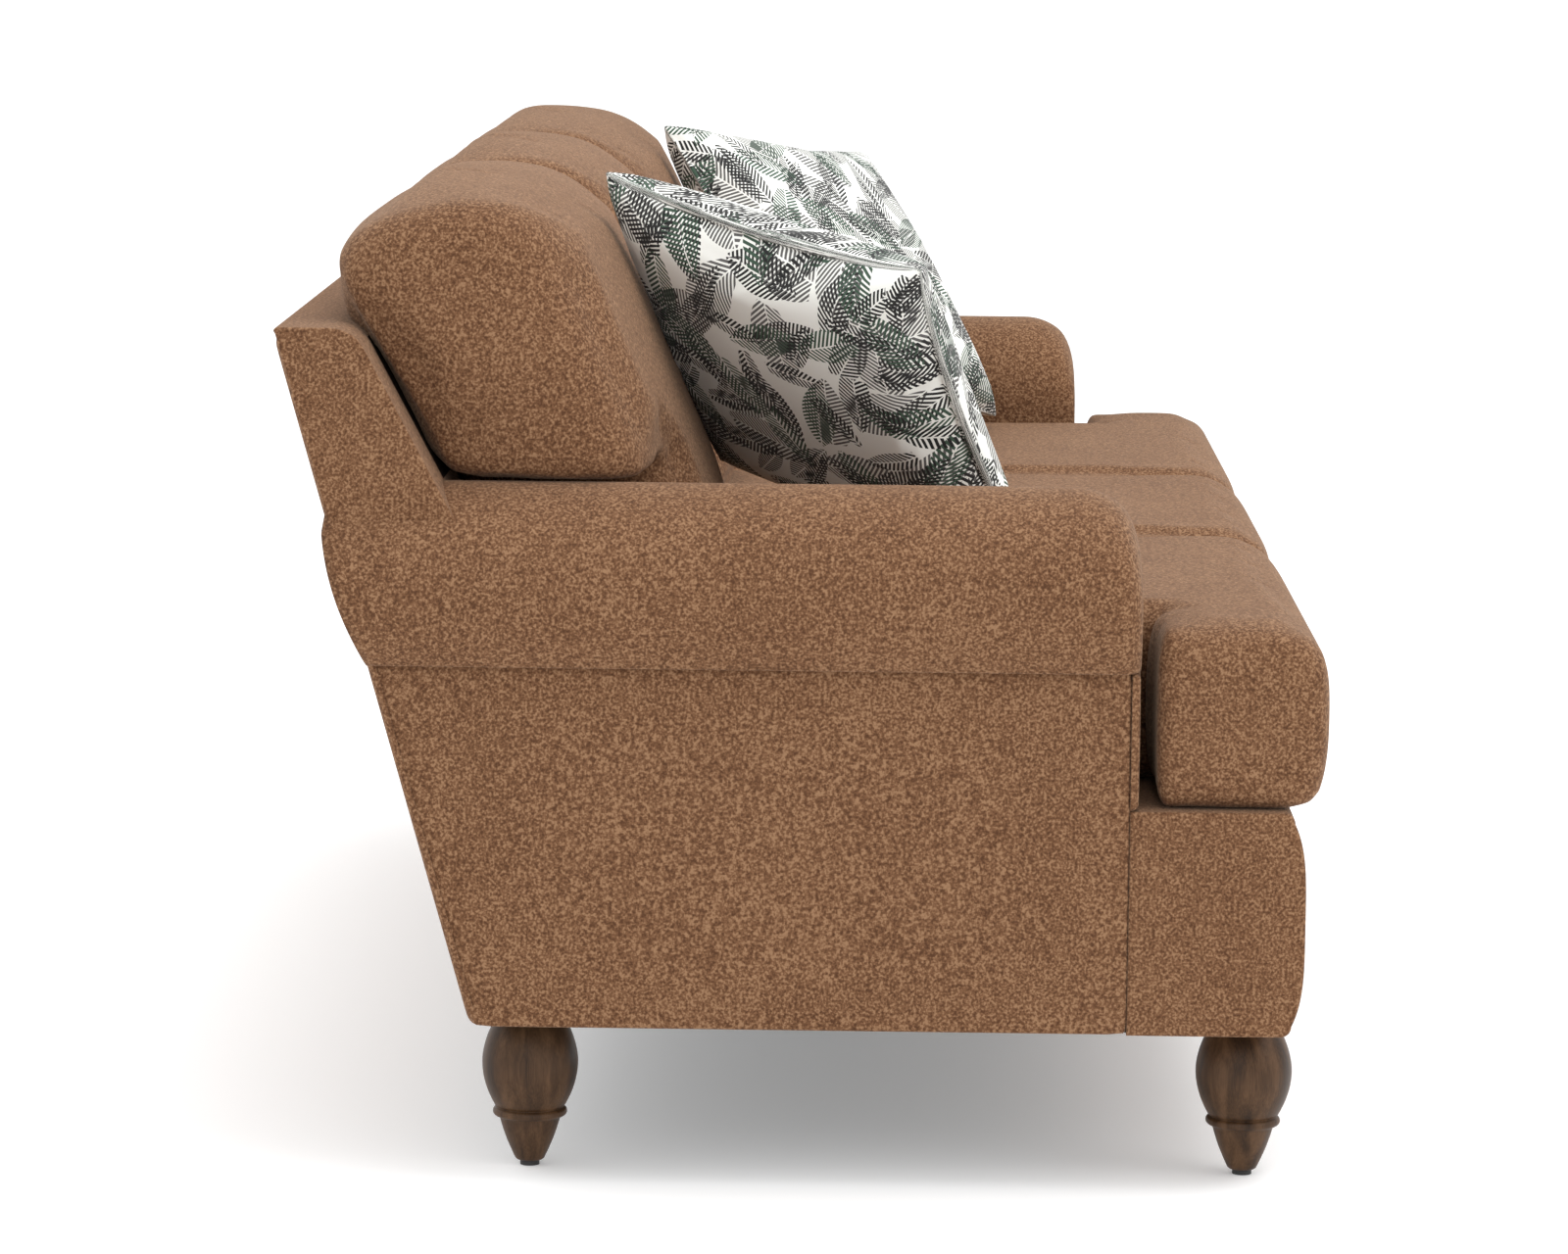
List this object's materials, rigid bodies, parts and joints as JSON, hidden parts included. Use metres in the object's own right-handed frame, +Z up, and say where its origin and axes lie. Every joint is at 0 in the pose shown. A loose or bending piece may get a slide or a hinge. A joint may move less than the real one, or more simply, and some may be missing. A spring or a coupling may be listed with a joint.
{
  "type": "sofa",
  "caption": "Upholstered sofa with rolled arms, loose seat and back cushions that wrap the arms, throw pillows and short turned wooden legs.",
  "frame": {"origin": "centre of the bounding box at floor level", "axes": "+X along the sofa to the right as seen from the front, the front faces -Y, +Z up"},
  "size_m": [2.16, 0.96, 0.9201],
  "materials": {
    "upholstery": "brown tweed weave",
    "pillow_fabric": "printed cotton, grey and green leaves on off-white",
    "filling": "foam and fibre",
    "webbing": "woven strap",
    "dust_cloth": "black nonwoven cloth",
    "frame_timber": "raw",
    "leg_wood": "satin dark walnut stain",
    "steel": "zinc plated",
    "glide_plastic": "matte"
  },
  "bodies": {
    "frame": {"back_posts": "frame_timber", "back_top_rail": "frame_timber", "back_webbing": "webbing", "corner_blocks": "frame_timber", "dust_cover": "dust_cloth", "frame_screws": "steel", "front_border": "upholstery", "front_left_leg": "leg_wood", "front_rail": "frame_timber", "front_right_leg": "leg_wood", "inside_back_pad": "upholstery", "left_arm_board": "frame_timber", "left_arm_cover": "upholstery", "left_arm_front_panel": "upholstery", "left_arm_front_post": "frame_timber", "left_arm_pad": "filling", "left_arm_rear_post": "frame_timber", "left_back_side_panel": "upholstery", "left_outside_arm_panel": "upholstery", "left_side_rail": "frame_timber", "leg_bolts": "steel", "leg_glides": "glide_plastic", "leg_plates": "steel", "outside_back_panel": "upholstery", "rear_left_leg": "leg_wood", "rear_rail": "frame_timber", "rear_right_leg": "leg_wood", "right_arm_board": "frame_timber", "right_arm_cover": "upholstery", "right_arm_front_panel": "upholstery", "right_arm_front_post": "frame_timber", "right_arm_pad": "filling", "right_arm_rear_post": "frame_timber", "right_back_side_panel": "upholstery", "right_outside_arm_panel": "upholstery", "right_side_rail": "frame_timber", "seat_deck": "upholstery", "seat_springs": "steel", "seat_stretchers": "frame_timber", "spring_clips": "steel"},
    "left_seat_cushion": {"left_seat_cushion_cover": "upholstery", "left_seat_cushion_foam": "filling"},
    "left_back_cushion": {"left_back_cushion_cover": "upholstery", "left_back_cushion_fill": "filling"},
    "middle_seat_cushion": {"middle_seat_cushion_cover": "upholstery", "middle_seat_cushion_foam": "filling"},
    "middle_back_cushion": {"middle_back_cushion_cover": "upholstery", "middle_back_cushion_fill": "filling"},
    "right_seat_cushion": {"right_seat_cushion_cover": "upholstery", "right_seat_cushion_foam": "filling"},
    "right_back_cushion": {"right_back_cushion_cover": "upholstery", "right_back_cushion_fill": "filling"},
    "left_throw_pillow": {"left_throw_pillow_cover": "pillow_fabric", "left_throw_pillow_insert": "filling"},
    "right_throw_pillow": {"right_throw_pillow_cover": "pillow_fabric", "right_throw_pillow_insert": "filling"}
  },
  "joints": [
    {"name": "left_seat_cushion_pull", "type": "slide", "parent": "frame", "child": "left_seat_cushion", "axis": [0, -1, 0], "range_m": [0, 0.3]},
    {"name": "middle_seat_cushion_pull", "type": "slide", "parent": "frame", "child": "middle_seat_cushion", "axis": [0, -1, 0], "range_m": [0, 0.3]},
    {"name": "right_seat_cushion_pull", "type": "slide", "parent": "frame", "child": "right_seat_cushion", "axis": [0, -1, 0], "range_m": [0, 0.3]},
    {"name": "left_back_cushion_lift", "type": "slide", "parent": "frame", "child": "left_back_cushion", "axis": [0, 0.471, 0.8821], "range_m": [0, 0.25]},
    {"name": "middle_back_cushion_lift", "type": "slide", "parent": "frame", "child": "middle_back_cushion", "axis": [0, 0.471, 0.8821], "range_m": [0, 0.25]},
    {"name": "right_back_cushion_lift", "type": "slide", "parent": "frame", "child": "right_back_cushion", "axis": [0, 0.471, 0.8821], "range_m": [0, 0.25]},
    {"name": "left_throw_pillow_lift", "type": "slide", "parent": "frame", "child": "left_throw_pillow", "axis": [0, 0, 1], "range_m": [0, 0.25]},
    {"name": "right_throw_pillow_lift", "type": "slide", "parent": "frame", "child": "right_throw_pillow", "axis": [0, 0, 1], "range_m": [0, 0.25]}
  ]
}
